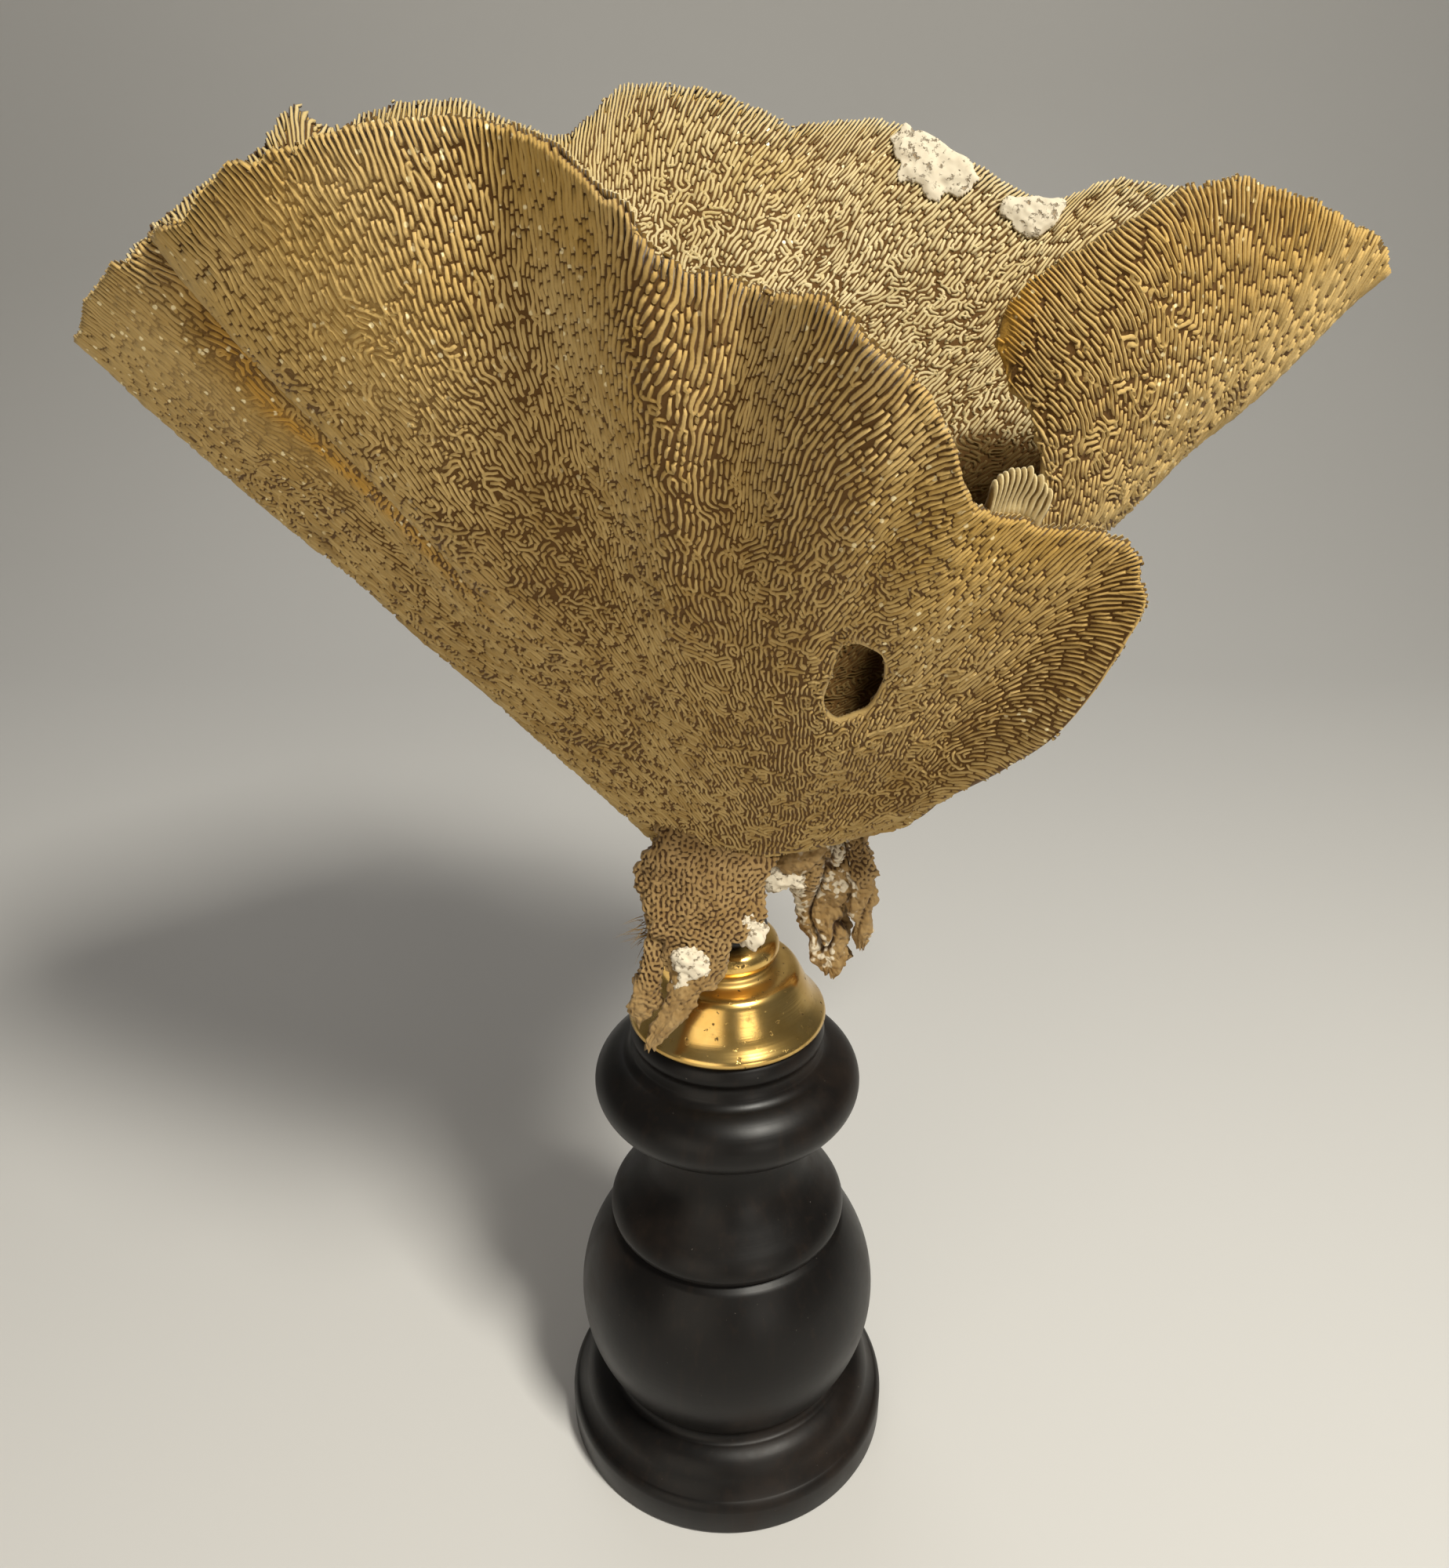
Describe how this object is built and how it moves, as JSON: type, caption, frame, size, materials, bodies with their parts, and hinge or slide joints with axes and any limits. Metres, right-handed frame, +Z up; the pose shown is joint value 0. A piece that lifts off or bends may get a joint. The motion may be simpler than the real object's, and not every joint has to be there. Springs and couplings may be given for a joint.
{
  "type": "leaf sponge on stand",
  "caption": "Dried leaf sponge folded into a lopsided ridged funnel, fixed by its torn stalk on a turned black wooden stand with a flared brass collar.",
  "frame": {"origin": "centre of the round foot's underside, on the axis of the turned stand", "axes": "+Z up along the stand's axis; the pictured front faces -Y, and +X is to the right in the picture"},
  "size_m": [0.2258, 0.1275, 0.295],
  "materials": {
    "sponge": "dry horny sponge skeleton, pale tan ridges over dark brown grooves",
    "ebonised_wood": "satin black, rubbed brown on the edges",
    "brass": "polished, pitted and tarnished in the hollows",
    "black_peg": "dull black",
    "lime_crust": "chalky white shell lime"
  },
  "bodies": {
    "root": {"sponge": "sponge", "stand": "ebonised_wood", "brass_collar": "brass", "peg": "black_peg", "lime_crust_left": "lime_crust", "lime_crust_inner": "lime_crust", "lime_crust_right": "lime_crust"}
  },
  "joints": []
}
